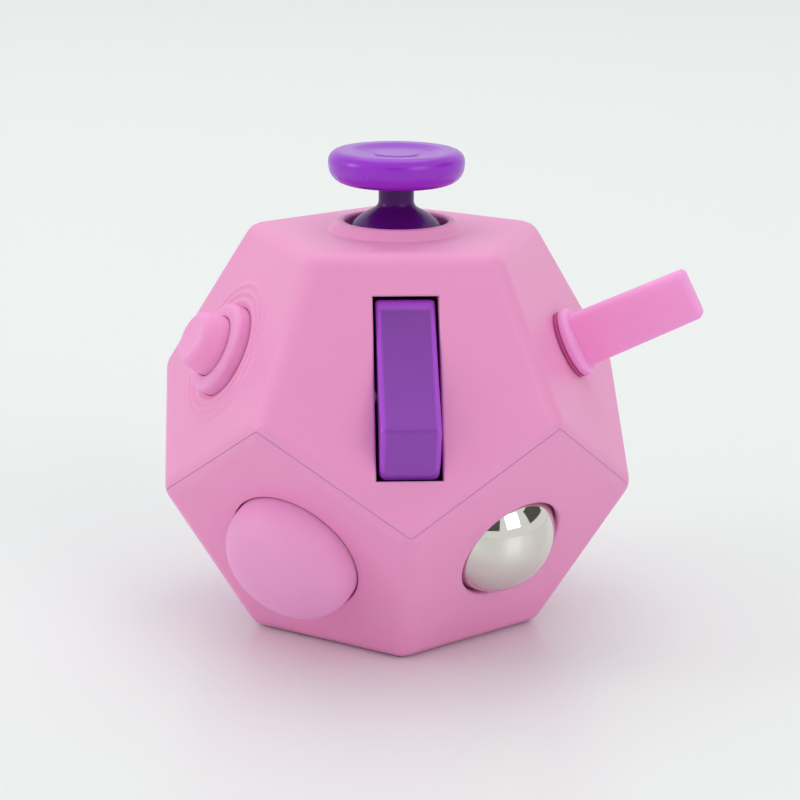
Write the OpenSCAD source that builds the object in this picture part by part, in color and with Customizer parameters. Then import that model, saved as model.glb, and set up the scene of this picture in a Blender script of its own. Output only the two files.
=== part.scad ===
/* [Body] */
// Distance between opposite faces of the twelve-sided body
across_flats = 40.8; // [40.4:0.1:44]
// Wall thickness of the two half shells
wall = 2.0; // [1.8:0.1:2.2]
// Radius of the soft rounding along the outer edges
edge_r = 2.2; // [1.2:0.1:2.6]
// Gap left along the zigzag seam between the two shells
seam_gap = 0.1; // [0.06:0.01:0.2]

/* [Joystick] */
// Diameter of the thumb cap
cap_d = 14.1; // [12:0.1:15]
// Height of the cap's top above its face
cap_top = 8.3; // [8:0.1:9.5]
// Radius of the hollow ball skirt under the stem
skirt_r = 6.0; // [5.8:0.05:6.1]

/* [Rocker] */
// Width of the rocker paddle
rocker_w = 5.8; // [5.2:0.1:5.9]
// Tilt of the rocker either side of level
rocker_tilt = 17; // [12:1:17]

/* [Step button] */
// Radius of the outer step
outer_step_r = 4.65; // [4.4:0.05:4.7]
// Radius of the inner step
inner_step_r = 3.05; // [2.8:0.05:3.05]

/* [Lever] */
// Length of the lever above its face
lever_len = 13.9; // [10:0.1:16]
// Width of the lever's broad side
lever_w = 5.3; // [4.4:0.1:6]
// Thickness of the lever
lever_t = 2.8; // [2:0.1:3.4]

/* [Ball and soft dome] */
// Diameter of the steel ball
ball_d = 12.7; // [12.4:0.1:12.8]
// Depth of the ball's centre below its face
ball_depth = 3.35; // [3.2:0.05:3.4]
// Radius of the soft dome
dome_r = 6.95; // [6.6:0.05:7]
// Height of the soft dome above its face
dome_bulge = 4.9; // [3:0.1:5.2]

/* [Wheels and dial] */
// Radius of the dial
dial_r = 6.4; // [5:0.1:7.5]
// Tip radius of the three toothed wheels
gear_r = 5.6; // [5.2:0.05:5.6]
// Radius of the roller
roller_r = 4.7; // [4.2:0.05:4.7]

/* [Hidden] */
$fn = 48;

// Colours of the moulded and metal parts
shell_pink = [0.92, 0.62, 0.79];
soft_pink = [0.96, 0.66, 0.84];
hot_pink = [1.0, 0.55, 0.80];
violet = [0.56, 0.22, 0.74];
plum = [0.34, 0.12, 0.46];
smoke = [0.25, 0.22, 0.28];
steel = [0.80, 0.80, 0.82];

// The body: a regular dodecahedron standing on one face, with its centre at height in_r
in_r = across_flats / 2;
ring_tilt = atan(2);
edge_ratio = 1 / cos(ring_tilt / 2);
corner_ratio = sqrt(15 - 6 * sqrt(5));
edge_len = in_r / 1.113516;
mid_corner_r = 1.376382 * edge_len;
mid_corner_z = 0.262866 * edge_len;

// Each face as [turn about the vertical, tip from the vertical]
joystick_face = [0, 0];
rocker_face = [0, ring_tilt];
lever_face = [72, ring_tilt];
click_face = [144, ring_tilt];
dial_face = [216, ring_tilt];
step_face = [288, ring_tilt];
ball_face = [36, 180 - ring_tilt];
slider_face = [108, 180 - ring_tilt];
roller_face = [180, 180 - ring_tilt];
gear_face = [252, 180 - ring_tilt];
dome_face = [324, 180 - ring_tilt];
dish_face = [0, 180];

// The six axes through opposite faces, and the edge and corner axes made from them
function normal(f) = [sin(f[0]) * sin(f[1]), -cos(f[0]) * sin(f[1]), cos(f[1])];
face_axes = [for (f = [joystick_face, rocker_face, lever_face, click_face, dial_face, step_face])
    normal(f)];
edge_axes = [for (i = [0:4]) for (j = [i + 1:5])
    face_axes[i] + sign(face_axes[i] * face_axes[j]) * face_axes[j]];
corner_axes = concat(
    [for (k = [0:4]) face_axes[0] + face_axes[1 + k] + face_axes[1 + (k + 1) % 5]],
    [for (k = [0:4]) face_axes[1 + k] + face_axes[1 + (k + 1) % 5] - face_axes[1 + (k + 3) % 5]]);

// Module fixings: blind bosses under the face, a flat ear, and a small screw
boss_r = 1.4;
boss_end = -3.5;
ear_t = 1.2;
ear_r = 1.7;
screw_ring_r = 9.3;
dome_screw_ring_r = 10.2;
screw_r = 0.7;
screw_head_r = 1.25;
screw_head_h = 0.9;
pilot_r = 0.75;
ear_hole_r = 0.85;
upper_screwed = [
    [joystick_face, screw_ring_r, [90, 234, 306]],
    [rocker_face, screw_ring_r, [-18, 198]],
    [click_face, screw_ring_r, [54, 198]],
    [step_face, screw_ring_r, [54, 198]]];
lower_screwed = [
    [ball_face, screw_ring_r, [18, -126]],
    [slider_face, screw_ring_r, [18, 162]],
    [roller_face, screw_ring_r, [18, 162]],
    [gear_face, screw_ring_r, [18, 162]],
    [dome_face, dome_screw_ring_r, [18, -126]]];

// Joystick
collar_h = 1.0;
collar_foot_r = 7.0;
collar_top_r = 6.0;
collar_hole_r = 5.25;
skirt_z = -3.4;
skirt_inner_r = 4.8;
skirt_below = 1.2;
stem_r = 1.8;
cap_bottom = 4.7;
peg_r = 1.25;
cup_r = 7.4;
cup_inner_r = 6.75;
cup_floor = -8.2;
cross_pin_r = 0.6;
cross_hole_r = 0.65;
arm_in = 2.5;
arm_t = 1.2;
arm_half = 1.2;

// Rocker
rocker_pivot = [-0.65, -4.55];
rocker_crease = [7.25, 6.1];
rocker_crease_shift = 0.2;
rocker_end_r = 9.85;
rocker_hole = [6.4, 18.05];
rocker_relief_r = 10.05;
rocker_pin_r = 0.8;
rocker_bore_r = 0.86;
cheek_t = 1.0;
cheek_gap = 0.3;
rocker_floor = -9.4;

// Step button
step_hole_r = 4.75;
outer_step_top = 1.5;
inner_step_top = 4.1;
inner_step_top_r = 2.55;
step_bore_r = 3.13;
outer_flange = [5.8, -3.4, -2.3];
inner_flange = [4.3, -4.5, -3.7];
step_cup_r = 6.7;
step_cup_inner_r = 6.05;
step_floor = -9.4;
ripple_rs = [5.4, 6.3, 7.2];

// Turning shafts shared by the lever and the dial
lever_rise = 0.4;
shaft_r = 2.0;
shaft_hole_r = 2.06;
groove_r = 1.4;
shaft_end = -3.4;
clip_z = [-2.75, -2.3];
clip_r = 3.2;
washer_z = [0.04, 0.4];

// Soft dome
dome_hole_r = 7.1;
dome_wall = 1.0;
dome_flange_r = 7.85;
dome_flange = [-3.2, -2.3];
seat_r = 8.45;
seat_inner_r = 8.05;
seat_floor = -5.9;

// Steel ball
ball_hole_r = 5.9;
ball_relief_r = ball_d / 2 + 0.15;
ball_cup_r = 6.95;
ball_cup_inner_r = ball_d / 2 + 0.1;
cup_band_r = 7.3;
cup_rim = -3.65;
cup_foot = -10.65;
cage_ring = [7.4, 7.95];
cage_waist = -5.6;
cage_floor = -12.8;
cage_foot_r = 3.8;

// Click buttons
click_r = 1.55;
click_hole_r = 1.7;
click_pitch = 3.3;
click_places = [[0, 0], [-click_pitch, -click_pitch], [click_pitch, -click_pitch],
    [-click_pitch, click_pitch], [click_pitch, click_pitch]];
click_top = 1.3;
click_flange = [2.0, -3.2, -2.3];
pad_z = [-5.3, -4.5];

// Wheels and roller
gear_z = -3.4;
gear_w = 2.6;
gear_pitch = 3.1;
gear_teeth = 14;
gear_root_r = gear_r - 1.0;
gear_relief_r = gear_r + 0.3;
gear_slot_w = 9.4;
axle_r = 0.8;
axle_bore_r = 0.86;
roller_z = -3.1;
roller_len = 9.0;
roller_relief_r = roller_r + 0.25;
roller_slot_w = 9.5;
frame_cheek = [4.95, 6.0];

// Slider
slider_slot = [11.4, 3.4];
slider_stem = [3.4, 3.0];
slider_cap = [5.6, 5.0];
slider_flange_z = [-3.3, -2.3];
tray_z = [-5.4, -4.4];

// Worry dish under the body
dish_r = 8.0;
dish_depth = 1.3;
dish_sphere_r = (dish_r * dish_r + dish_depth * dish_depth) / (2 * dish_depth);

// Guide pegs that line the two shells up
post_r = 1.7;
post_ring_r = 20.9 * in_r / 20.4;
post_z = post_ring_r * mid_corner_z / mid_corner_r;
peg = [0.8, 1.5];
socket = [0.9, 1.8];

// ---- shared shapes ----

// Places things in a face's own frame: +Z outwards, the face itself at height 0
module on_face(f) {
    translate([0, 0, in_r])
        rotate([0, 0, f[0]])
            rotate([f[1], 0, 0])
                translate([0, 0, in_r])
                    children();
}

// A slab through the centre, 2 * h thick, square to direction n
module slab(n, h) {
    rotate([0, acos(n[2] / norm(n)), atan2(n[1], n[0])])
        cube([4 * in_r, 4 * in_r, 2 * h], center = true);
}

module sharp_body(r) {
    intersection_for (n = face_axes) slab(n, r);
}

// The body with its edges and corners planed off to follow a round of radius edge_r
module soft_body(r) {
    intersection() {
        sharp_body(r);
        intersection_for (n = edge_axes) slab(n, edge_ratio * (r - edge_r) + edge_r);
        intersection_for (n = corner_axes) slab(n, corner_ratio * (r - edge_r) + edge_r);
    }
}

// Everything above the zigzag seam, as a crown whose underside runs in to the centre
module crown() {
    out = 1.5;
    ring = [for (i = [0:9]) [mid_corner_r * out * sin(36 * i), -mid_corner_r * out * cos(36 * i),
        (i % 2 == 1 ? 1 : -1) * mid_corner_z * out]];
    lid = [for (p = ring) [p[0], p[1], 2 * in_r]];
    polyhedron(
        points = concat([[0, 0, 0]], ring, lid),
        faces = concat(
            [for (i = [0:9]) [0, 1 + i, 1 + (i + 1) % 10]],
            [for (i = [0:9]) [1 + i, 11 + i, 11 + (i + 1) % 10, 1 + (i + 1) % 10]],
            [[for (i = [9:-1:0]) 11 + i]]));
}

module hollow_body() {
    difference() {
        soft_body(in_r);
        sharp_body(in_r - wall);
    }
}

module guide_posts(r, z0, z1) {
    for (k = [0:4])
        rotate([0, 0, 72 * k + 36])
            translate([0, -post_ring_r, z0])
                cylinder(r = r, h = z1 - z0);
}

// A disc or tube between two heights
module ring(r, z, bore = 0) {
    translate([0, 0, z[0]])
        difference() {
            cylinder(r = r, h = z[1] - z[0]);
            if (bore > 0)
                translate([0, 0, -1]) cylinder(r = bore, h = z[1] - z[0] + 2);
        }
}

module at_screws(s) {
    on_face(s[0])
        for (a = s[2])
            rotate([0, 0, a])
                translate([s[1], 0, 0])
                    children();
}

module bosses(list) {
    for (s = list) at_screws(s) ring(boss_r, [boss_end, -wall + 0.5]);
}

module pilot_holes(list) {
    for (s = list) at_screws(s) ring(pilot_r, [boss_end - 1, -wall + 0.4]);
}

module screws(list) {
    for (s = list) at_screws(s) {
        ring(screw_head_r, [boss_end - ear_t - screw_head_h, boss_end - ear_t]);
        ring(screw_r, [boss_end - ear_t - 0.1, -wall + 0.1]);
    }
}

// Flat ears that reach out from a carrier to its screws
module ears(s, reach) {
    for (a = s[2])
        rotate([0, 0, a])
            difference() {
                union() {
                    translate([s[1], 0, 0]) ring(ear_r, [boss_end - ear_t, boss_end]);
                    translate([reach, -ear_r, boss_end - ear_t]) cube([s[1] - reach, 2 * ear_r, ear_t]);
                }
                translate([s[1], 0, 0]) ring(ear_hole_r, [boss_end - ear_t - 1, boss_end + 1]);
            }
}

// A rod along X
module rod_x(r, len) {
    rotate([0, 90, 0]) cylinder(r = r, h = len, center = true);
}

// A coil spring on Z, from height z[0] to z[1]
module coil(r, wire_r, turns, z) {
    steps = round(turns * 10);
    rise = z[1] - z[0] - 2 * wire_r;
    points = [for (i = [0:steps]) for (j = [0:5])
        let (turn = 36 * i, round_wire = 60 * j, far = r + wire_r * cos(round_wire))
        [far * cos(turn), far * sin(turn), z[0] + wire_r + rise * i / steps + wire_r * sin(round_wire)]];
    walls = [for (i = [0:steps - 1]) for (j = [0:5])
        [i * 6 + j, (i + 1) * 6 + j, (i + 1) * 6 + (j + 1) % 6, i * 6 + (j + 1) % 6]];
    ends = [[for (j = [0:5]) j], [for (j = [5:-1:0]) steps * 6 + j]];
    polyhedron(points, concat(walls, ends));
}

function arc(centre, r, from, to, n) =
    [for (i = [0:n]) let (a = from + (to - from) * i / n) centre + r * [cos(a), sin(a)]];

// ---- shells ----

module upper_shell() {
    color(shell_pink) difference() {
        union() {
            translate([0, 0, in_r]) intersection() {
                union() {
                    hollow_body();
                    guide_posts(post_r, post_z - 3.4, post_z + 3.4);
                }
                translate([0, 0, seam_gap / 2]) crown();
            }
            bosses(upper_screwed);
            on_face(joystick_face) translate([0, 0, -0.5])
                cylinder(r1 = collar_foot_r + 0.4, r2 = collar_top_r, h = collar_h + 0.5);
            on_face(step_face) for (r = ripple_rs) rotate_extrude() translate([r, -0.45]) circle(r = 0.6);
        }
        pilot_holes(upper_screwed);
        translate([0, 0, in_r]) guide_posts(socket[0], post_z - 3, post_z + socket[1]);
        on_face(joystick_face) {
            ring(collar_hole_r, [-wall - 1, collar_h + 1]);
            translate([0, 0, skirt_z]) sphere(r = skirt_r + 0.25);
        }
        on_face(rocker_face) translate([0, rocker_pivot[0], 0]) {
            translate([-rocker_hole[0] / 2, -rocker_hole[1] / 2, -3 * wall])
                cube([rocker_hole[0], rocker_hole[1], 4 * wall]);
            translate([0, 0, rocker_pivot[1]]) rod_x(rocker_relief_r, rocker_hole[0]);
        }
        on_face(lever_face) translate([0, lever_rise, 0]) ring(shaft_hole_r, [-wall - 1, 1]);
        on_face(dial_face) ring(shaft_hole_r, [-wall - 1, 1]);
        on_face(click_face) for (p = click_places)
            translate([p[0], p[1], 0]) ring(click_hole_r, [-wall - 1, 1]);
        on_face(step_face) ring(step_hole_r, [-wall - 1, 1]);
    }
}

module lower_shell() {
    color(shell_pink) difference() {
        union() {
            translate([0, 0, in_r]) difference() {
                union() {
                    hollow_body();
                    guide_posts(post_r, post_z - 3.4, post_z + 3.4);
                }
                translate([0, 0, -seam_gap / 2]) crown();
            }
            translate([0, 0, in_r]) guide_posts(peg[0], post_z - 2, post_z + peg[1]);
            bosses(lower_screwed);
            on_face(dish_face) ring(dish_r + 1, [-wall - dish_depth, -wall + 0.5]);
        }
        pilot_holes(lower_screwed);
        on_face(ball_face) {
            ring(ball_hole_r, [-wall - 1, 1]);
            translate([0, 0, -ball_depth]) sphere(r = ball_relief_r);
        }
        on_face(dome_face) ring(dome_hole_r, [-wall - 1, 1]);
        on_face(gear_face) translate([0, 0, gear_z]) rod_x(gear_relief_r, gear_slot_w);
        on_face(roller_face) translate([0, 0, roller_z]) rod_x(roller_relief_r, roller_slot_w);
        on_face(slider_face)
            for (x = [-1, 1]) {
                translate([x * (slider_slot[0] - slider_slot[1]) / 2, 0, 0])
                    ring(slider_slot[1] / 2, [-wall - 1, 1]);
                translate([(x - 1) * (slider_slot[0] - slider_slot[1]) / 4, -slider_slot[1] / 2, -wall - 1])
                    cube([(slider_slot[0] - slider_slot[1]) / 2, slider_slot[1], wall + 2]);
            }
        on_face(dish_face) translate([0, 0, dish_sphere_r - dish_depth]) sphere(r = dish_sphere_r, $fn = 96);
    }
}

module upper_screws() { color(steel) screws(upper_screwed); }
module lower_screws() { color(steel) screws(lower_screwed); }

// ---- joystick ----

module joystick_cap() {
    rim = cap_d / 2;
    outline = concat(
        [[0, cap_bottom]],
        arc([rim - 2.1, cap_bottom + 2.1], 2.1, -90, 0, 6),
        arc([rim - 1.3, cap_top - 1.3], 1.3, 0, 80, 5),
        [[rim - 2.8, cap_top - 0.15], [2.1, cap_top - 0.45], [0, cap_top - 0.45]]);
    color(violet) on_face(joystick_face) difference() {
        rotate_extrude() polygon(outline);
        ring(peg_r + 0.02, [cap_bottom - 1, cap_top - 1.4]);
    }
}

module fork_arm(top, bottom) {
    difference() {
        union() {
            translate([arm_in, -arm_half, bottom]) cube([arm_t, 2 * arm_half, top - bottom]);
            translate([arm_in + arm_t / 2, 0, skirt_z]) rod_x(arm_half, arm_t);
        }
        translate([arm_in + arm_t / 2, 0, skirt_z]) rod_x(cross_hole_r, arm_t + 2);
    }
}

module joystick_stick() {
    color(plum) on_face(joystick_face) {
        difference() {
            translate([0, 0, skirt_z]) sphere(r = skirt_r);
            translate([0, 0, skirt_z]) sphere(r = skirt_inner_r);
            translate([-skirt_r, -skirt_r, skirt_z - skirt_below - 2 * skirt_r])
                cube(2 * skirt_r);
        }
        translate([0, 0, 2]) cylinder(r1 = stem_r + 0.9, r2 = stem_r, h = 1.2);
        ring(stem_r, [2, cap_bottom]);
        ring(peg_r, [2, cap_top - 1.6]);
        ring(3.4, [-0.4, 1.2]);
        for (a = [90, 270]) rotate([0, 0, a]) fork_arm(0, skirt_z);
    }
}

module joystick_cross() {
    color(steel) on_face(joystick_face) translate([0, 0, skirt_z]) {
        sphere(r = 1.5);
        for (a = [0, 90]) rotate([0, 0, a]) rod_x(cross_pin_r, 2 * (arm_in + arm_t));
    }
}

module joystick_base() {
    color(smoke) on_face(joystick_face) {
        ring(cup_r, [cup_floor, cup_floor + 1]);
        ring(cup_r, [cup_floor, boss_end], cup_inner_r);
        for (a = [0, 180]) rotate([0, 0, a]) fork_arm(skirt_z, cup_floor + 0.5);
        ears(upper_screwed[0], cup_inner_r + 0.3);
    }
}

module joystick_spring() {
    color(steel) on_face(joystick_face) coil(1.8, 0.2, 4, [cup_floor + 1, skirt_z - 1.4]);
}

// ---- rocker ----

// Side outline of the level rocker about its pivot: a slightly hollow top between two creases,
// two sloping end facets, round ends, and a hub with a detent nose
function rocker_outline() =
    let (sag = 0.35)
    concat(
        [for (i = [-5:5]) [rocker_crease[0] * i / 5 + rocker_crease_shift,
            rocker_crease[1] - sag * (1 - i * i / 25)]],
        arc([0, 0], rocker_end_r, 10.5, 7.5, 1),
        [[2.2, -0.6], [1.7, -1.6], [0.6, -3.0], [-0.6, -3.0], [-1.7, -1.6], [-2.2, -0.6]],
        arc([0, 0], rocker_end_r, 172.5, 169.5, 1));

module at_rocker_pivot() {
    on_face(rocker_face) translate([0, rocker_pivot[0], rocker_pivot[1]]) children();
}

module rocker() {
    color(violet) at_rocker_pivot() rotate([-rocker_tilt, 0, 0]) difference() {
        rotate([90, 0, 90]) linear_extrude(rocker_w, center = true) polygon(rocker_outline());
        rod_x(rocker_bore_r, rocker_w + 2);
    }
}

module rocker_pin() {
    color(steel) at_rocker_pivot() rod_x(rocker_pin_r, rocker_hole[0] + 2 * cheek_t + 2 * cheek_gap);
}

module rocker_bracket() {
    inner = rocker_hole[0] / 2 + cheek_gap;
    pivot_y = rocker_pivot[0];
    color(smoke) on_face(rocker_face) difference() {
        union() {
            for (x = [inner, -inner - cheek_t])
                translate([x, pivot_y - 4, rocker_floor]) cube([cheek_t, 8, -wall - 0.1 - rocker_floor]);
            translate([-inner - cheek_t, pivot_y - 4, rocker_floor]) cube([2 * (inner + cheek_t), 8, 0.8]);
            difference() {
                ears(upper_screwed[1], 2.6);
                translate([-inner - 0.1, -10, -6]) cube([2 * inner + 0.2, 20, 5]);
            }
        }
        translate([0, pivot_y, rocker_pivot[1]]) rod_x(rocker_pin_r + 0.02, 2 * (inner + cheek_t) + 0.2);
    }
}

module rocker_spring() {
    color(steel) on_face(rocker_face) translate([0, rocker_pivot[0], rocker_floor + 0.8]) {
        translate([-1.5, -3.6, 0]) cube([3, 7.2, 0.3]);
        intersection() {
            translate([0, 0, -0.4]) rod_x(1.2, 3);
            translate([-1.5, -2, 0.1]) cube([3, 4, 2]);
        }
    }
}

// ---- step button ----

module step_button_inner() {
    color(soft_pink) on_face(step_face) {
        ring(inner_step_r, [inner_flange[2] - 0.1, outer_step_top]);
        translate([0, 0, outer_step_top])
            cylinder(r1 = inner_step_r, r2 = inner_step_top_r + 0.15, h = inner_step_top - outer_step_top - 0.4);
        translate([0, 0, inner_step_top - 0.4])
            cylinder(r1 = inner_step_top_r + 0.15, r2 = inner_step_top_r - 0.35, h = 0.4);
        ring(inner_flange[0], [inner_flange[1], inner_flange[2]]);
    }
}

module step_button_outer() {
    color(soft_pink) on_face(step_face) difference() {
        union() {
            ring(outer_step_r, [outer_flange[1], outer_step_top - 0.4]);
            translate([0, 0, outer_step_top - 0.4])
                cylinder(r1 = outer_step_r, r2 = outer_step_r - 0.4, h = 0.4);
            ring(outer_flange[0], [outer_flange[1], outer_flange[2]]);
        }
        ring(step_bore_r, [outer_flange[1] - 1, outer_step_top + 1]);
    }
}

module step_button_inner_spring() {
    color(steel) on_face(step_face) coil(2.4, 0.22, 4, [step_floor + 0.8, inner_flange[1]]);
}

module step_button_outer_spring() {
    color(steel) on_face(step_face) coil(5.2, 0.22, 3, [step_floor + 2.2, outer_flange[1]]);
}

module step_button_base() {
    color(smoke) on_face(step_face) {
        ring(step_cup_r, [step_floor, step_floor + 0.8]);
        ring(step_cup_r, [step_floor, step_floor + 2.2], 4.85);
        ring(step_cup_r, [step_floor, boss_end], step_cup_inner_r);
        ears(upper_screwed[3], step_cup_inner_r + 0.3);
    }
}

// ---- lever and dial ----

module shaft() {
    ring(groove_r, [shaft_end, washer_z[1]]);
    ring(shaft_r, [clip_z[1] + 0.05, washer_z[1] + 0.2]);
    ring(shaft_r, [shaft_end, clip_z[0] - 0.05]);
}

module shaft_clip() {
    difference() {
        ring(clip_r, clip_z, groove_r + 0.05);
        translate([0, -groove_r * 0.8, clip_z[0] - 1]) cube([clip_r + 1, 1.6 * groove_r, 3]);
    }
}

module lever() {
    outline = concat(
        [[-lever_w / 2 - 0.1, 1]],
        arc([-lever_w / 2 + 0.75, lever_len - 0.6], 0.6, 180, 90, 4),
        arc([lever_w / 2 - 0.75, lever_len - 0.6], 0.6, 90, 0, 4),
        [[lever_w / 2 + 0.1, 1]]);
    color(hot_pink) on_face(lever_face) translate([0, lever_rise, 0]) {
        shaft();
        ring(3.6, [0.45, 1.4]);
        rotate([90, 0, 90]) linear_extrude(lever_t, center = true) polygon(outline);
    }
}

module lever_washer() {
    color(plum) on_face(lever_face) translate([0, lever_rise, 0]) ring(3.5, washer_z, shaft_hole_r);
}

module lever_clip() { color(steel) on_face(lever_face) translate([0, lever_rise, 0]) shaft_clip(); }

module dial() {
    color(violet) on_face(dial_face) {
        shaft();
        difference() {
            union() {
                ring(dial_r, [0.45, 2.6]);
                translate([0, 0, 2.6]) cylinder(r1 = dial_r, r2 = dial_r - 0.6, h = 0.5);
            }
            for (a = [0:45:315]) rotate([0, 0, a]) translate([dial_r + 1.4, 0, 0]) ring(2.0, [0, 4]);
            translate([0, 0, 14.6]) sphere(r = 12);
        }
        translate([0, dial_r - 2.4, 2.4]) sphere(r = 1.1);
    }
}

module dial_washer() { color(plum) on_face(dial_face) ring(3.6, washer_z, shaft_hole_r); }
module dial_clip() { color(steel) on_face(dial_face) shaft_clip(); }

// ---- soft dome ----

// Half the dome's outline, from its edge up to its crown: steep sides and a flatter top
function dome_line(r, h, n) = [for (i = [0:n]) [r * pow(cos(90 * i / n), 0.77), h * pow(sin(90 * i / n), 0.77)]];

module soft_dome() {
    inner = dome_line(dome_r - dome_wall, dome_bulge - dome_wall, 8);
    outline = concat(
        [[dome_r - dome_wall, dome_flange[0]], [dome_flange_r, dome_flange[0]],
            [dome_flange_r, dome_flange[1]], [dome_r, dome_flange[1]]],
        dome_line(dome_r, dome_bulge, 12),
        [for (i = [8:-1:0]) inner[i]]);
    color(soft_pink) on_face(dome_face) rotate_extrude($fn = 96) polygon(outline);
}

module dome_seat() {
    outline = [[2, seat_floor], [seat_r, seat_floor], [seat_r, boss_end], [seat_inner_r, boss_end],
        [seat_inner_r, seat_floor + 0.8], [2, seat_floor + 0.8]];
    color(smoke) on_face(dome_face) {
        rotate_extrude() polygon(outline);
        ears(lower_screwed[4], seat_inner_r + 0.2);
    }
}

// ---- steel ball ----

module steel_ball() {
    color(steel) on_face(ball_face) translate([0, 0, -ball_depth]) sphere(d = ball_d, $fn = 96);
}

module ball_cup() {
    color(smoke) on_face(ball_face) difference() {
        union() {
            intersection() {
                translate([0, 0, -ball_depth]) sphere(r = ball_cup_r);
                ring(ball_cup_r + 1, [cup_foot, cup_rim]);
            }
            ring(cup_band_r, [cup_rim - 1.4, cup_rim]);
            ring(2.0, [cup_foot, cup_foot + 0.9]);
        }
        translate([0, 0, -ball_depth]) sphere(r = ball_cup_inner_r);
    }
}

module ball_spring() {
    color(steel) on_face(ball_face) coil(1.6, 0.15, 2, [cage_floor + 0.8, cup_foot]);
}

module ball_cage() {
    outline = [[cage_ring[0], boss_end], [cage_ring[1], boss_end], [cage_ring[1], cage_waist],
        [cage_foot_r, cage_floor], [0, cage_floor], [0, cage_floor + 0.8], [cage_foot_r - 0.55, cage_floor + 0.8],
        [cage_ring[0], cage_waist]];
    color(smoke) on_face(ball_face) {
        rotate_extrude() polygon(outline);
        ears(lower_screwed[0], cage_ring[0] + 0.2);
    }
}

// ---- click buttons ----

module click_button(p) {
    color(violet) on_face(click_face) translate([p[0], p[1], 0]) {
        ring(click_r, [click_flange[1], click_top - 0.4]);
        translate([0, 0, click_top - 0.4]) cylinder(r1 = click_r, r2 = click_r - 0.4, h = 0.4);
        ring(click_flange[0], [click_flange[1], click_flange[2]]);
    }
}

module click_button_1() { click_button(click_places[0]); }
module click_button_2() { click_button(click_places[1]); }
module click_button_3() { click_button(click_places[2]); }
module click_button_4() { click_button(click_places[3]); }
module click_button_5() { click_button(click_places[4]); }

module click_pad() {
    color(soft_pink) on_face(click_face) {
        ring(6.8, pad_z);
        for (p = click_places) translate([p[0], p[1], 0]) {
            translate([0, 0, pad_z[1] - 0.1]) cylinder(r1 = 1.7, r2 = 1.1, h = 0.7);
            ring(1.1, [pad_z[1], click_flange[1] - 0.1]);
        }
    }
}

module click_plate() {
    color(smoke) on_face(click_face) {
        ring(7.4, [pad_z[0] - 1, pad_z[0]]);
        ring(7.4, [pad_z[0] - 1, boss_end], 6.9);
        ears(upper_screwed[2], 7.0);
    }
}

// ---- toothed wheels and roller ----

// A blunt-toothed rim: root, flank, tip and flank in each tooth's share of the turn
function gear_outline() = [for (i = [0:gear_teeth - 1]) for (q = [[0.05, 0], [0.28, 1], [0.72, 1], [0.95, 0]])
    let (a = 360 / gear_teeth * (i + q[0]), r = q[1] == 1 ? gear_r : gear_root_r) r * [cos(a), sin(a)]];

module gear_wheel(i) {
    color(violet) on_face(gear_face) translate([(i - 2) * gear_pitch, 0, gear_z]) difference() {
        rotate([90, 0, 90]) linear_extrude(gear_w, center = true) polygon(gear_outline());
        rod_x(axle_bore_r, gear_w + 2);
    }
}

module gear_wheel_1() { gear_wheel(1); }
module gear_wheel_2() { gear_wheel(2); }
module gear_wheel_3() { gear_wheel(3); }

module wheel_axle(f, z) {
    color(steel) on_face(f) translate([0, 0, z]) rod_x(axle_r, 2 * frame_cheek[1] - 0.2);
}

// A U-shaped carrier: two cheeks with axle holes, a floor and two ears
module wheel_frame(s, z, floor_z) {
    color(smoke) on_face(s[0]) difference() {
        union() {
            for (x = [frame_cheek[0], -frame_cheek[1]])
                translate([x, -2.2, floor_z])
                    cube([frame_cheek[1] - frame_cheek[0], 4.4, -wall - 0.1 - floor_z]);
            translate([-frame_cheek[1], -2.2, floor_z]) cube([2 * frame_cheek[1], 4.4, 0.8]);
            difference() {
                ears(s, 4.0);
                translate([-frame_cheek[0] - 0.1, -10, -6]) cube([2 * frame_cheek[0] + 0.2, 20, 5]);
            }
        }
        translate([0, 0, z]) rod_x(axle_r + 0.02, 2 * frame_cheek[1] + 0.2);
    }
}

module gear_axle() { wheel_axle(gear_face, gear_z); }
module gear_frame() { wheel_frame(lower_screwed[3], gear_z, -10.1); }

module roller() {
    color(violet) on_face(roller_face) translate([0, 0, roller_z]) difference() {
        rod_x(roller_r, roller_len);
        rod_x(axle_bore_r, roller_len + 2);
        for (x = [-2.6, 0, 2.6]) translate([x, 0, 0]) difference() {
            rod_x(roller_r + 1, 0.7);
            rod_x(roller_r - 0.35, 2);
        }
    }
}

module roller_axle() { wheel_axle(roller_face, roller_z); }
module roller_frame() { wheel_frame(lower_screwed[2], roller_z, -8.9); }

// ---- slider ----

module slider() {
    color(violet) on_face(slider_face) {
        translate([-slider_stem[0] / 2, -slider_stem[1] / 2, slider_flange_z[0]])
            cube([slider_stem[0], slider_stem[1], 2.2 - slider_flange_z[0]]);
        translate([-slider_cap[0] / 2, -slider_cap[1] / 2, 0.2]) cube([slider_cap[0], slider_cap[1], 1.4]);
        translate([-slider_cap[0] / 2, -slider_cap[1] / 2, slider_flange_z[0]])
            cube([slider_cap[0], slider_cap[1], slider_flange_z[1] - slider_flange_z[0]]);
        for (x = [-1.6, 0, 1.6]) translate([x - 0.3, -slider_cap[1] / 2, 1.5]) cube([0.6, slider_cap[1], 0.7]);
    }
}

module slider_spring() {
    color(steel) on_face(slider_face) {
        translate([-5.6, -1.2, tray_z[1]]) cube([11.2, 2.4, 0.3]);
        for (x = [-3.2, 0, 3.2]) intersection() {
            translate([x, 0, tray_z[1] - 0.3]) rotate([0, 0, 90]) rod_x(1.1, 2.4);
            translate([x - 2, -2, tray_z[1] + 0.1]) cube([4, 4, 2]);
        }
    }
}

module slider_plate() {
    color(smoke) on_face(slider_face) {
        translate([-7.2, -3.8, tray_z[0]]) cube([14.4, 7.6, 1]);
        for (y = [-3.8, 3.0]) translate([-7.2, y, tray_z[0]]) cube([14.4, 0.8, boss_end - tray_z[0]]);
        ears(lower_screwed[1], 6.0);
    }
}

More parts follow.
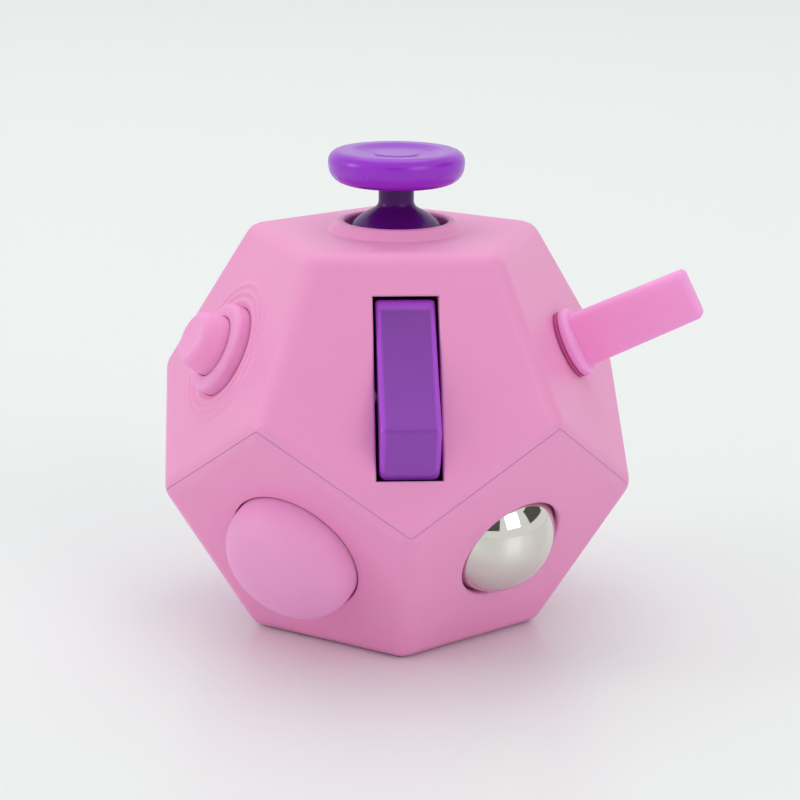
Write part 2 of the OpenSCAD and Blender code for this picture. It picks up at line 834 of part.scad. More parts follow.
upper_shell();
lower_shell();
upper_screws();
lower_screws();
joystick_cap();
joystick_stick();
joystick_cross();
joystick_base();
joystick_spring();
rocker();
rocker_pin();
rocker_bracket();
rocker_spring();
step_button_inner();
step_button_outer();
step_button_inner_spring();
step_button_outer_spring();
step_button_base();
lever();
lever_washer();
lever_clip();
soft_dome();
dome_seat();
steel_ball();
ball_cup();
ball_spring();
ball_cage();
dial();
dial_washer();
dial_clip();
click_button_1();
click_button_2();
click_button_3();
click_button_4();
click_button_5();
click_pad();
click_plate();
gear_wheel_1();
gear_wheel_2();
gear_wheel_3();
gear_axle();
gear_frame();
slider();
slider_spring();
slider_plate();
roller();
roller_axle();
roller_frame();
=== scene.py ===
import math

import bmesh
import bpy
from mathutils import Matrix, Vector


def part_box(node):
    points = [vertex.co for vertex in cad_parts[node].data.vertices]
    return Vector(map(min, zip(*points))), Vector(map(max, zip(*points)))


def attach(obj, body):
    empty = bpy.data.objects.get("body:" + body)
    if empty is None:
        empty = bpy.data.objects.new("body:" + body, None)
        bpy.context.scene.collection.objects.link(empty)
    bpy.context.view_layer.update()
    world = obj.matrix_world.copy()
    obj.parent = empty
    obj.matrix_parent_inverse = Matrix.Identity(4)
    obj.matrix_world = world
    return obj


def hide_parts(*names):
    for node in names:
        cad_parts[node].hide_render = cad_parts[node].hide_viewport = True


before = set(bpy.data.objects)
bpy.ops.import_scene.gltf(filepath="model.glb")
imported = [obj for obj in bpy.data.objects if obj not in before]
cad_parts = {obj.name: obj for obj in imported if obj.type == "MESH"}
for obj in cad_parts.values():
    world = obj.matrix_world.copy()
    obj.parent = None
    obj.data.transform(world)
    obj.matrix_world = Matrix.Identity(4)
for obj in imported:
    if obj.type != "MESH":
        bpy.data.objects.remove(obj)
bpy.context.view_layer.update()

scene = bpy.context.scene
scene.view_settings.view_transform = "Standard"

# ---- Studio: camera, lamps, cards and floor ----
# The toy stands on a pale table between three soft lamps and two dark cards, all out of view.
# The camera looks slightly down at the rocker face, and lengths here are millimetres until a
# finished mesh is scaled to metres.
MM = 0.001
collar_height = 1.0
half_height = (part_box("upper_shell")[1].z / MM - collar_height) / 2
body_middle = Vector((0, 0, half_height))

view_turn, view_rise, view_distance = math.radians(-3.97), math.radians(15.33), 255.4
look_past_middle = Vector((0.62, 0.58, 2.27))
camera_roll = math.radians(0.54)
away = Vector((math.sin(view_turn) * math.cos(view_rise),
               -math.cos(view_turn) * math.cos(view_rise), math.sin(view_rise)))
camera_place = body_middle + away * view_distance
line_of_sight = camera_place - body_middle - look_past_middle
camera = bpy.data.objects.new("camera", bpy.data.cameras.new("camera"))
camera.data.lens = 110.8
camera.data.clip_start = 0.01
camera.matrix_world = (
    Matrix.Translation(camera_place * MM)
    @ line_of_sight.to_track_quat("Z", "Y").to_matrix().to_4x4()
    @ Matrix.Rotation(camera_roll, 4, "Z"))
scene.collection.objects.link(camera)
scene.camera = camera


def lamp(name, place, aim, size, power, tint=(1, 1, 1)):
    """A square soft lamp at a place, turned to a point, in metres and watts."""
    light = bpy.data.objects.new(name, bpy.data.lights.new(name, "AREA"))
    light.data.size = size
    light.data.energy = power
    light.data.color = tint
    turn = (Vector(place) - Vector(aim)).to_track_quat("Z", "Y")
    light.matrix_world = Matrix.Translation(place) @ turn.to_matrix().to_4x4()
    scene.collection.objects.link(light)


lamp("overhead_softbox", (0.0, 0.3, 0.75), (0, 0, 0.02), 0.6, 1.1)
lamp("front_window", (0.5, -0.68, 0.42), (0, 0, 0.02), 0.42, 1.1)
lamp("left_fill", (-0.75, -0.05, 0.3), (0, 0, 0.02), 0.25, 0.8)

room = bpy.data.worlds.new("room")
room.use_nodes = True
room.node_tree.nodes["Background"].inputs["Color"].default_value = (0.93, 0.95, 0.945, 1)
room.node_tree.nodes["Background"].inputs["Strength"].default_value = 0.88
scene.world = room


def sheet(name, where, colour, roughness):
    """A plain flat sheet of the studio, one metre square before it is placed."""
    bm = bmesh.new()
    bmesh.ops.create_grid(bm, x_segments=1, y_segments=1, size=0.5)
    bm.transform(where)
    made = bpy.data.objects.new(name, bpy.data.meshes.new(name))
    bm.to_mesh(made.data)
    bm.free()
    scene.collection.objects.link(made)
    finish = bpy.data.materials.new(name + "_finish")
    finish.use_nodes = True
    finish.node_tree.nodes["Principled BSDF"].inputs["Base Color"].default_value = (*colour, 1)
    finish.node_tree.nodes["Principled BSDF"].inputs["Roughness"].default_value = roughness
    made.data.materials.append(finish)
    return made


def flag(name, place, width, height):
    """A dark studio card out of the picture, which gives bright metal something to mirror."""
    facing = Vector(place).to_track_quat("Z", "Y").to_matrix().to_4x4()
    card = sheet(name, Matrix.Translation(place) @ facing @ Matrix.Diagonal((width, height, 1, 1)),
                 (0.10, 0.095, 0.08), 0.9)


flag("front_flag", (-0.12, -0.92, 0.42), 0.6, 0.42)
flag("right_flag", (0.90, 0.0, 0.40), 0.7, 0.38)

floor = sheet("floor", Matrix.Diagonal((8, 8, 1, 1)), (0.86, 0.88, 0.875), 0.35)


# ---- Body shells ----
# Two pink ABS mouldings, six faces each, meet along the zigzag of the body's own edges. They are
# pegged and glued. Blind bosses inside take the small screws that hold each carrier.
wall = 2.0
edge_round = 2.2
ring_tilt = math.atan(2)
seam_gap = 0.05
seam_softening = 0.14
lip = 0.3
SHELL_PINK = (0.885, 0.325, 0.605)

UPPER, LOWER = ring_tilt, math.pi - ring_tilt
FACES = {
    "joystick": (0, 0), "rocker": (0, UPPER), "lever": (72, UPPER), "click": (144, UPPER),
    "dial": (216, UPPER), "step": (288, UPPER), "ball": (36, LOWER), "slider": (108, LOWER),
    "roller": (180, LOWER), "gear": (252, LOWER), "dome": (324, LOWER), "dish": (0, math.pi)}


def on_face(name, x=0.0, y=0.0, z=0.0):
    """Places a shape in a face's own frame: x to the right, y up the face, z outwards."""
    turn, tip = FACES[name]
    return (Matrix.Translation(body_middle) @ Matrix.Rotation(math.radians(turn), 4, "Z")
            @ Matrix.Rotation(tip, 4, "X") @ Matrix.Translation((x, y, half_height + z)))


def outward(name):
    return (on_face(name).to_3x3() @ Vector((0, 0, 1))).normalized()


def softened(corners, closed=True, steps=5):
    """The outline through corners (x, y, corner radius), each corner drawn as an arc."""
    outline = []
    for i, corner in enumerate(corners):
        here = Vector(corner[:2])
        radius = corner[2] if len(corner) > 2 else 0
        if not radius or (not closed and i in (0, len(corners) - 1)):
            outline.append(here)
            continue
        back = (Vector(corners[i - 1][:2]) - here).normalized()
        on = (Vector(corners[(i + 1) % len(corners)][:2]) - here).normalized()
        half = back.angle(on) / 2
        middle = here + (back + on).normalized() * radius / math.sin(half)
        start = here + back * radius / math.tan(half) - middle
        end = here + on * radius / math.tan(half) - middle
        outline += [middle + start.slerp(end, k / steps).normalized() * radius for k in range(steps + 1)]
    return outline


def lathe(corners, steps=72, fillet_steps=5):
    """A solid turned about Z from corners (radius, height, corner radius)."""
    bm = bmesh.new()
    solid = corners[0][0] == 0 and corners[-1][0] == 0
    points = [bm.verts.new((p.x, 0, p.y)) for p in softened(corners, not solid, fillet_steps)]
    pairs = list(zip(points, points[1:] + points[:1]))
    for a, b in pairs[:-1] if solid else pairs:
        bm.edges.new((a, b))
    bmesh.ops.spin(bm, geom=bm.verts[:] + bm.edges[:], cent=(0, 0, 0), axis=(0, 0, 1),
                   angle=math.tau, steps=steps, use_merge=True)
    bmesh.ops.remove_doubles(bm, verts=bm.verts, dist=1e-5)
    bmesh.ops.recalc_face_normals(bm, faces=bm.faces)
    return bm


def moved(bm, matrix):
    bm.transform(matrix)
    return bm


def together(shapes):
    """Several separate shapes as one bmesh."""
    first, *others = shapes
    for other in others:
        mesh = bpy.data.meshes.new("part")
        other.to_mesh(mesh)
        other.free()
        first.from_mesh(mesh)
        bpy.data.meshes.remove(mesh)
    return first


def combine(shape, tool, how="DIFFERENCE"):
    """Cuts a solid with a tool, or welds the two, and gives the new solid."""
    blocks = []
    for bm in (shape, tool):
        blocks.append(bpy.data.objects.new("block", bpy.data.meshes.new("block")))
        bm.to_mesh(blocks[-1].data)
        bm.free()
        scene.collection.objects.link(blocks[-1])
    cut = blocks[0].modifiers.new("cut", "BOOLEAN")
    cut.object, cut.operation, cut.solver = blocks[1], how, "MANIFOLD"
    made = bmesh.new()
    made.from_object(blocks[0], bpy.context.evaluated_depsgraph_get())
    for block in blocks:
        mesh = block.data
        bpy.data.objects.remove(block)
        bpy.data.meshes.remove(mesh)
    return made


def rounded(bm, edges, offset, segments):
    """Rounds off these edges of a solid."""
    bmesh.ops.bevel(bm, geom=edges, offset=offset, offset_type="OFFSET", segments=segments,
                    profile=0.5, affect="EDGES", clamp_overlap=True, material=-1)


def dodecahedron(inradius):
    """The sharp twelve-sided block, planed from a cube, middle at the origin."""
    bm = bmesh.new()
    bmesh.ops.create_cube(bm, size=4 * inradius)
    for name in FACES:
        away = outward(name)
        cut = bmesh.ops.bisect_plane(bm, geom=bm.verts[:] + bm.edges[:] + bm.faces[:],
                                     plane_co=away * inradius, plane_no=away, clear_outer=True)
        rim = [e for e in cut["geom_cut"] if isinstance(e, bmesh.types.BMEdge)]
        bmesh.ops.edgeloop_fill(bm, edges=rim)
    bmesh.ops.recalc_face_normals(bm, faces=bm.faces)
    return bm


def half_shell(keep):
    """The hollow body on one side of the zigzag seam, with guide posts at five seam corners."""
    body = dodecahedron(half_height)
    rounded(body, body.edges[:], edge_round * math.tan(ring_tilt / 2), 7)
    body = combine(body, dodecahedron(half_height - wall))
    posts = [moved(lathe([(0, -3.4), (1.7, -3.4), (1.7, 3.4), (0, 3.4)], 24), post_place(k))
             for k in range(5)]
    body = combine(body, together(posts), "UNION")
    rise = seam_gap / 2 if keep == "INTERSECT" else -seam_gap / 2
    body = combine(body, moved(crown(), Matrix.Translation((0, 0, rise))), keep)
    apex = Vector((0, 0, rise))
    seam = []
    for edge in body.edges:
        on_cut = [abs(f.normal.dot(f.calc_center_median() - apex)) < 1e-3 for f in edge.link_faces]
        middle = (edge.verts[0].co + edge.verts[1].co) / 2
        if sorted(on_cut) == [False, True] and middle.length > half_height * 1.11:
            seam.append(edge)
    rounded(body, seam, seam_softening, 2)
    return moved(body, Matrix.Translation(body_middle))


# A regular twelve-sided body of edge 1 is 1.113516 from its middle to a face. The corners of its
# zigzag lie 1.376382 out from the upright axis and 0.262866 above or below the middle.
edge_length = half_height / 1.113516
corner_ring, corner_rise = 1.376382 * edge_length, 0.262866 * edge_length
post_ring = 20.9


def post_place(k):
    turn = Matrix.Rotation(math.radians(72 * k + 36), 4, "Z")
    return turn @ Matrix.Translation((0, -post_ring, post_ring * corner_rise / corner_ring))


def crown():
    """All that lies above the seam: a zigzag rim run in to the middle and up past the top."""
    bm = bmesh.new()
    reach = 1.5
    middle = bm.verts.new((0, 0, 0))
    rim = []
    for i in range(10):
        turn = math.radians(36 * i)
        rim.append(bm.verts.new((corner_ring * reach * math.sin(turn),
                                 -corner_ring * reach * math.cos(turn),
                                 (1 if i % 2 else -1) * corner_rise * reach)))
    for a, b in zip(rim, rim[1:] + rim[:1]):
        bm.faces.new((middle, a, b))
    edges = [e for e in bm.edges if e.is_boundary]
    walls = bmesh.ops.extrude_edge_only(bm, edges=edges)["geom"]
    for v in walls:
        if isinstance(v, bmesh.types.BMVert):
            v.co.z = 2 * half_height
    bmesh.ops.edgeloop_fill(bm, edges=[e for e in bm.edges if e.is_boundary])
    bmesh.ops.recalc_face_normals(bm, faces=bm.faces)
    return bm


def round_hole(radius, steps=96, soft=lip):
    """A cutter for a round opening whose mouth has a small soft lip."""
    mouth = [(radius + soft * (1 - math.cos(t)), soft * (math.sin(t) - 1))
             for t in (math.radians(15 * k) for k in range(7))]
    return lathe([(0, -5), (radius, -5)] + mouth + [(radius + soft, 1), (0, 1)], steps)


def slot_hole(half_x, half_y, corner=0.0, depth=4.0):
    """A cutter for a straight-sided opening whose mouth has a small soft lip."""
    levels = [(0, -depth)]
    levels += [(lip * (1 - math.cos(t)), lip * (math.sin(t) - 1))
               for t in (math.radians(18 * k) for k in range(6))]
    levels.append((lip, 1))
    bm = bmesh.new()
    rims = []
    for grow, height in levels:
        x, y = half_x + grow, half_y + grow
        ring = [(-x, -y), (x, -y), (x, y), (-x, y)]
        if corner:
            ring = softened([(px, py, corner + grow) for px, py in ring], True, 8)
        rims.append([bm.verts.new((p[0], p[1], height)) for p in ring])
        loop = [bm.edges.new((a, b)) for a, b in zip(rims[-1], rims[-1][1:] + rims[-1][:1])]
        if len(rims) > 1:
            bmesh.ops.bridge_loops(bm, edges=before + loop)
        before = loop
    bm.faces.new(rims[0])
    bm.faces.new(rims[-1])
    bmesh.ops.recalc_face_normals(bm, faces=bm.faces)
    return bm


def rod(radius, length, steps=72):
    """A rod along X, its middle at the origin."""
    turned = lathe([(0, -length / 2), (radius, -length / 2), (radius, length / 2), (0, length / 2)], steps)
    return moved(turned, Matrix.Rotation(math.pi / 2, 4, "Y"))


def ball(radius, steps=96):
    bm = bmesh.new()
    bmesh.ops.create_uvsphere(bm, u_segments=steps, v_segments=steps // 2, radius=radius)
    return bm


def screw_places(names_angles, ring=9.3):
    """Where the carriers' screws stand: face name and the angles round it."""
    return [on_face(name) @ Matrix.Rotation(math.radians(a), 4, "Z") @ Matrix.Translation((ring, 0, 0))
            for name, angles in names_angles for a in angles]


def bosses(places):
    return together([moved(lathe([(0, -3.5), (1.4, -3.5, 0.15), (1.4, -1.5), (0, -1.5)], 24, 2), p)
                     for p in places])


def pilots(places):
    return together([moved(lathe([(0, -4.5), (0.75, -4.5), (0.75, -1.6), (0, -1.6)], 20), p)
                     for p in places])


class Wire:
    """A socket in a material's nodes, so that shader sums read as ordinary ones."""

    def __init__(self, tree, socket=None):
        self.tree = tree
        self.socket = socket

    def add(self, kind, settings, inputs, output=0):
        made = self.tree.nodes.new("ShaderNode" + kind)
        for key, value in settings.items():
            if key == "stops":
                while len(made.color_ramp.elements) < len(value):
                    made.color_ramp.elements.new(1)
                for stop, (place, shade) in zip(made.color_ramp.elements, value):
                    stop.position = place
                    stop.color = (*shade, 1)
            else:
                setattr(made, key, value)
        for key, value in inputs.items():
            if isinstance(value, Wire):
                self.tree.links.new(value.socket, made.inputs[key])
            else:
                made.inputs[key].default_value = value
        return Wire(self.tree, made.outputs[output])

    def math(self, operation, first, second):
        return self.add("Math", {"operation": operation}, {0: first, 1: second})

    def along(self, row):
        """How far this place lies along a direction, past the origin of the row's frame."""
        dot = self.add("VectorMath", {"operation": "DOT_PRODUCT"}, {0: self, 1: row[:3]}, 1)
        return dot + row[3] * MM

    def __add__(self, other):
        return self.math("ADD", self, other)

    __radd__ = __add__

    def __sub__(self, other):
        return self.math("SUBTRACT", self, other)

    def __rsub__(self, other):
        return self.math("SUBTRACT", other, self)

    def __mul__(self, other):
        return self.math("MULTIPLY", self, other)

    __rmul__ = __mul__


def noise(place, size_mm, detail=2.0, stretch=(1, 1, 1)):
    """Cloudy noise whose blotches are about size_mm across, from 0 to 1 and mostly near a half."""
    scaled = place.add("Mapping", {}, {"Vector": place, "Scale": [s / (size_mm * MM) for s in stretch]})
    return place.add("TexNoise", {}, {"Vector": scaled, "Scale": 1.0, "Detail": detail})


def tinted(colour, amount):
    return (*[min(1, c * amount) for c in colour], 1)


def material(name, colour, roughness, constants, paint):
    """A finish: fixed socket values, then paint(shader, place) for what varies over the surface."""
    made = bpy.data.materials.new(name)
    made.use_nodes = True
    shader = made.node_tree.nodes["Principled BSDF"]
    shader.inputs["Base Color"].default_value = (*colour, 1)
    shader.inputs["Roughness"].default_value = roughness
    for key, value in constants.items():
        shader.inputs[key].default_value = value
    place = Wire(made.node_tree).add("TexCoord", {}, {}, "Object")
    for key, wire in paint(place).items():
        made.node_tree.links.new(wire.socket, shader.inputs[key])
    return made


def shaded(place, colour, mask, darker, lighter):
    """The colour, from darker to lighter as the mask goes from 0 to 1."""
    return place.add("Mix", {"data_type": "RGBA"},
                     {0: mask, 6: tinted(colour, darker), 7: tinted(colour, lighter)}, 2)


def bumped(place, height, depth_mm):
    return place.add("Bump", {}, {"Height": height, "Distance": depth_mm * MM, "Strength": 1.0})


def satin_abs(place):
    flow = noise(place, 9, 2)
    grain = noise(place, 0.09, 1)
    return {"Base Color": shaded(place, SHELL_PINK, flow, 0.97, 1.03),
            "Roughness": 0.36 + flow * 0.06 + grain * 0.05,
            "Normal": bumped(place, grain, 0.0035)}


shell_finish = material("satin_pink_abs", SHELL_PINK, 0.4, {
    "Subsurface Weight": 0.25, "Subsurface Radius": (1.0, 0.45, 0.6), "Subsurface Scale": 0.0012,
    "IOR": 1.5}, satin_abs)


def piece(name, bm, body, stands_for, finish, where=None, sharp=32):
    """Sets a finished shape in the toy: in metres, riding on its body, in place of a CAD node."""
    if where is not None:
        bm.transform(where)
    bm.transform(Matrix.Scale(MM, 4))
    mesh = bpy.data.meshes.new(name)
    bm.to_mesh(mesh)
    bm.free()
    mesh.shade_smooth()
    mesh.set_sharp_from_angle(angle=math.radians(sharp))
    mesh.materials.append(finish)
    made = bpy.data.objects.new(name, mesh)
    scene.collection.objects.link(made)
    weigh = made.modifiers.new("even shading", "WEIGHTED_NORMAL")
    weigh.keep_sharp = True
    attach(made, body)
    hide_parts(stands_for)
    return made


skirt_radius, skirt_depth = 6.0, -3.4
collar_rim, stick_hole = 6.0, 5.25
shaft_hole, click_hole, step_hole = 2.06, 1.7, 4.75
ball_hole, ball_radius, dome_hole = 5.9, 6.35, 7.1
lever_rise = 0.4
rocker_pivot = (0, -0.65, -4.55)
click_places = [(0, 0), (-3.3, -3.3), (3.3, -3.3), (-3.3, 3.3), (3.3, 3.3)]

upper_screws = screw_places([("joystick", (90, 234, 306)), ("rocker", (-18, 198)),
                             ("click", (54, 198)), ("step", (54, 198))])
upper = half_shell("INTERSECT")
collar = lathe([(0, -0.5), (7.4, -0.5), (6.95, 0.0, 0.9), (collar_rim, collar_height, 0.45),
                (0, collar_height)], 96, 6)
ripples = lathe([(0, -1), (8.1, -1), (8.0, -0.02, 0.2), (7.65, 0.02, 0.3), (7.2, 0.22, 0.42),
                 (6.75, 0.02, 0.42), (6.3, 0.27, 0.42), (5.85, 0.02, 0.42), (5.4, 0.27, 0.42),
                 (4.95, 0.03, 0.3), (0, 0.03)], 128, 6)
upper = combine(upper, moved(collar, on_face("joystick")), "UNION")
upper = combine(upper, moved(ripples, on_face("step")), "UNION")
upper = combine(upper, bosses(upper_screws), "UNION")
sockets = [moved(lathe([(0, -3), (0.9, -3), (0.9, 1.8), (0, 1.8)], 24),
                 Matrix.Translation(body_middle) @ post_place(k)) for k in range(5)]
upper = combine(upper, together([pilots(upper_screws)] + sockets))
for tool in (moved(round_hole(stick_hole), on_face("joystick", z=collar_height)),
             moved(ball(skirt_radius + 0.25), on_face("joystick", z=skirt_depth)),
             moved(slot_hole(3.2, 9.025), on_face("rocker", y=rocker_pivot[1])),
             moved(rod(10.05, 6.4, 128), on_face("rocker", *rocker_pivot)),
             moved(round_hole(shaft_hole, 48), on_face("lever", y=lever_rise)),
             moved(round_hole(shaft_hole, 48), on_face("dial")),
             together([moved(round_hole(click_hole, 48), on_face("click", *p)) for p in click_places]),
             moved(round_hole(step_hole, soft=0.1), on_face("step"))):
    upper = combine(upper, tool)
piece("upper_moulding", upper, "housing", "upper_shell", shell_finish)

lower_screws = (screw_places([("ball", (18, -126)), ("slider", (18, 162)), ("roller", (18, 162)),
                              ("gear", (18, 162))]) + screw_places([("dome", (18, -126))], 10.2))
lower = half_shell("DIFFERENCE")
pegs = [moved(lathe([(0, -2), (0.8, -2), (0.8, 1.5, 0.2), (0, 1.5)], 24),
              Matrix.Translation(body_middle) @ post_place(k)) for k in range(5)]
lower = combine(lower, together(pegs), "UNION")
dish_backing = lathe([(0, -3.3), (9, -3.3, 0.3), (9, -1.5), (0, -1.5)], 72)
lower = combine(lower, moved(dish_backing, on_face("dish")), "UNION")
lower = combine(lower, bosses(lower_screws), "UNION")
lower = combine(lower, pilots(lower_screws))
dish_radius, dish_depth = 8.0, 1.3
dish_ball = (dish_radius ** 2 + dish_depth ** 2) / (2 * dish_depth)
gear_depth, gear_tip = -3.4, 5.6
roller_depth, roller_radius = -3.1, 4.7
ball_depth = -3.35
for tool in (moved(round_hole(ball_hole), on_face("ball")),
             moved(ball(ball_radius + 0.15), on_face("ball", z=ball_depth)),
             moved(round_hole(dome_hole, soft=0.12), on_face("dome")),
             moved(slot_hole(4.7, 4.82, 0.4, 1.0), on_face("gear")),
             moved(rod(gear_tip + 0.3, 9.4, 96), on_face("gear", z=gear_depth)),
             moved(slot_hole(4.75, 3.86, 0.4, 1.0), on_face("roller")),
             moved(rod(roller_radius + 0.25, 9.5, 96), on_face("roller", z=roller_depth)),
             moved(slot_hole(5.7, 1.7, 1.6), on_face("slider")),
             moved(ball(dish_ball, 192), on_face("dish", z=dish_ball - dish_depth))):
    lower = combine(lower, tool)
piece("lower_moulding", lower, "housing", "lower_shell", shell_finish)


# ---- Joystick ----
# A glossy violet thumb cap is pressed onto a dark plum stem. The stem grows from a hollow ball
# skirt that swings on crossed steel pins inside the collar, and a small coil steadies it.
VIOLET = (0.32, 0.016, 0.61)
PLUM = (0.095, 0.004, 0.16)


def glossy(colour):
    def paint(place):
        flow = noise(place, 5, 3)
        hairlines = noise(place, 0.3, 2, (1, 0.08, 1))
        return {"Base Color": shaded(place, colour, flow, 0.93, 1.07),
                "Roughness": 0.2 + flow * 0.06 + hairlines * 0.05,
                "Normal": bumped(place, noise(place, 0.8, 1), 0.0008)}
    return paint


gloss_constants = {"IOR": 1.46, "Coat Weight": 0.08, "Coat Roughness": 0.15,
                   "Subsurface Weight": 0.12, "Subsurface Radius": (0.6, 0.2, 0.9),
                   "Subsurface Scale": 0.001}
violet_gloss = material("violet_gloss_abs", VIOLET, 0.25, gloss_constants, glossy(VIOLET))
plum_gloss = material("plum_gloss_abs", PLUM, 0.3,
                      {**gloss_constants, "Coat Weight": 0.0, "Specular IOR Level": 0.25}, glossy(PLUM))

cap_inset = 0.12
cap_radius = (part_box("joystick_cap")[1].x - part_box("joystick_cap")[0].x) / MM / 2 - cap_inset
cap_low, cap_high, stem_radius, peg_radius = 4.8, 8.12, 1.8, 1.25
cap = lathe([
    (0, cap_high - 1.4), (peg_radius + 0.02, cap_high - 1.4), (peg_radius + 0.02, cap_low),
    (cap_radius - 0.15, cap_low, 1.8), (cap_radius, cap_low + 2.1, 1.2), (cap_radius, cap_high, 1.1),
    (cap_radius - 2.2, cap_high - 0.02, 0.8), (cap_radius - 3.4, cap_high - 0.35, 1.6),
    (2.35, cap_high - 0.45, 0.3), (2.2, cap_high - 0.3, 0.12), (0, cap_high - 0.3)], 96, 6)
piece("joystick_thumb_cap", cap, "joystick", "joystick_cap", violet_gloss,
      on_face("joystick"))


def fork(low, high, across=2.4, inward=2.5, thick=1.2):
    """Two arms across the pins, each with a round end at the pin's height and a drilled eye."""
    arms = []
    for side in (-1, 1):
        middle = side * (inward + thick / 2)
        arm = bmesh.new()
        bmesh.ops.create_cube(arm, size=1)
        arm.transform(Matrix.Translation((middle, 0, (low + high) / 2))
                      @ Matrix.Diagonal((thick, across, high - low, 1)))
        eye = moved(rod(across / 2, thick, 32), Matrix.Translation((middle, 0, skirt_depth)))
        arms.append(combine(arm, eye, "UNION"))
    return combine(together(arms), moved(rod(0.65, 10, 24), Matrix.Translation((0, 0, skirt_depth))))


def skirt_arc(radius, from_deg, to_deg, steps):
    """Points of the ball skirt's outline, degrees up from its equator."""
    return [(radius * math.cos(t), skirt_depth + radius * math.sin(t))
            for t in (math.radians(from_deg + (to_deg - from_deg) * k / steps) for k in range(steps + 1))]


skirt_inner, skirt_below, peg_top = 4.8, 1.2, 6.7
skirt_edge = -math.degrees(math.asin(skirt_below / skirt_radius))
inner_edge = -math.degrees(math.asin(skirt_below / skirt_inner))
stem = lathe([(0, -0.2), (3.3, -0.2)] + skirt_arc(skirt_inner, 43, inner_edge, 12)
             + skirt_arc(skirt_radius, skirt_edge, 61, 20)
             + [(stem_radius, 2.45, 0.9), (stem_radius, cap_low), (peg_radius, cap_low),
                (peg_radius, peg_top), (0, peg_top)], 96, 8)
arms = moved(fork(skirt_depth, 0.6), Matrix.Rotation(math.pi / 2, 4, "Z"))
stem = combine(stem, arms, "UNION")
piece("joystick_stem", stem, "joystick", "joystick_stick", plum_gloss, on_face("joystick"))


STEEL_GREY = (0.62, 0.62, 0.64)
NYLON_PLUM = (0.12, 0.03, 0.09)


def bright_steel(place):
    drawn = noise(place, 0.3, 3, (1, 1, 0.05))
    return {"Base Color": shaded(place, STEEL_GREY, drawn, 0.9, 1.08),
            "Roughness": 0.22 + drawn * 0.2, "Normal": bumped(place, drawn, 0.004)}


steel = material("bright_steel", STEEL_GREY, 0.3, {"Metallic": 1.0}, bright_steel)


def dark_moulding(place):
    grain = noise(place, 0.15, 2)
    return {"Base Color": shaded(place, NYLON_PLUM, noise(place, 4, 2), 0.85, 1.2),
            "Roughness": 0.48 + grain * 0.12, "Normal": bumped(place, grain, 0.006)}


carrier_finish = material("dark_carrier_nylon", NYLON_PLUM, 0.5, {"IOR": 1.5}, dark_moulding)


def coat_cad(names, finish):
    """Gives carried-over CAD nodes their real finish."""
    for name in names:
        for material_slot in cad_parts[name].material_slots:
            material_slot.material = finish


def coil(radius, wire, turns, low, high):
    """A spring wound from round wire about Z."""
    bm = bmesh.new()
    bmesh.ops.create_circle(bm, segments=10, radius=wire, cap_ends=True)
    bm.transform(Matrix.Translation((radius, 0, low + wire)) @ Matrix.Rotation(math.pi / 2, 4, "X"))
    bmesh.ops.spin(bm, geom=bm.verts[:] + bm.edges[:] + bm.faces[:], cent=(0, 0, 0), axis=(0, 0, 1),
                   dvec=(0, 0, (high - low - 2 * wire) / (turns * 28)), angle=math.tau * turns,
                   steps=int(turns * 28))
    bmesh.ops.remove_doubles(bm, verts=bm.verts, dist=1e-4)
    bmesh.ops.recalc_face_normals(bm, faces=bm.faces)
    return bm


piece("joystick_coil", coil(1.8, 0.2, 4, -7.2, -4.8), "housing", "joystick_spring", steel,
      on_face("joystick"))
coat_cad(["joystick_cross", "rocker_pin", "gear_axle", "roller_axle", "upper_screws", "lower_screws",
          "lever_clip", "dial_clip", "rocker_spring", "slider_spring"], steel)
coat_cad(["joystick_base", "rocker_bracket", "step_button_base", "dome_seat", "ball_cage", "click_plate",
          "gear_frame", "slider_plate", "roller_frame"], carrier_finish)


# ---- Rocker ----
# A violet ABS paddle snaps to and fro on a steel pin, and rests with its lower end out. Its top
# is slightly hollow between two soft creases, and its rim and corners are rounded off.
rocker_width = (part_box("rocker")[1].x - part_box("rocker")[0].x) / MM
rocker_tilt = math.radians(17)
crease_reach, crease_height, hollow = 7.05, 6.1, 0.35
end_radius = 9.85
high_end_extra = 0.4
top_line = [(crease_reach * i / 6 + high_end_extra * (1 + i / 6) / 2,
             crease_height - hollow * (1 - (i / 6) ** 2)) for i in range(-5, 6)]
end_high, end_low = [(end_radius * math.cos(math.radians(a)), end_radius * math.sin(math.radians(a)))
                     for a in (10.5, 7.5)]
low_end_cut = 0.1
side_outline = softened(
    [(low_end_cut - end_low[0], end_low[1]), (low_end_cut - end_high[0], end_high[1]),
     (-crease_reach, crease_height, 0.8)] + top_line
    + [(crease_reach + high_end_extra, crease_height, 0.5), end_high, end_low, (2.2, -0.6, 0.5),
       (1.7, -1.6, 0.3), (0.6, -3.0, 0.4), (-0.6, -3.0, 0.4), (-1.7, -1.6, 0.3), (-2.2, -0.6, 0.5)],
    True, 4)


def bar(outline, width):
    """A bar of this width along X, with the outline (y, z) all along it."""
    bm = bmesh.new()
    side = bm.faces.new([bm.verts.new((-width / 2, p.x, p.y)) for p in outline])
    pushed = bmesh.ops.extrude_face_region(bm, geom=[side])["geom"]
    bmesh.ops.translate(bm, verts=[v for v in pushed if isinstance(v, bmesh.types.BMVert)],
                        vec=(width, 0, 0))
    bmesh.ops.recalc_face_normals(bm, faces=bm.faces)
    return bm


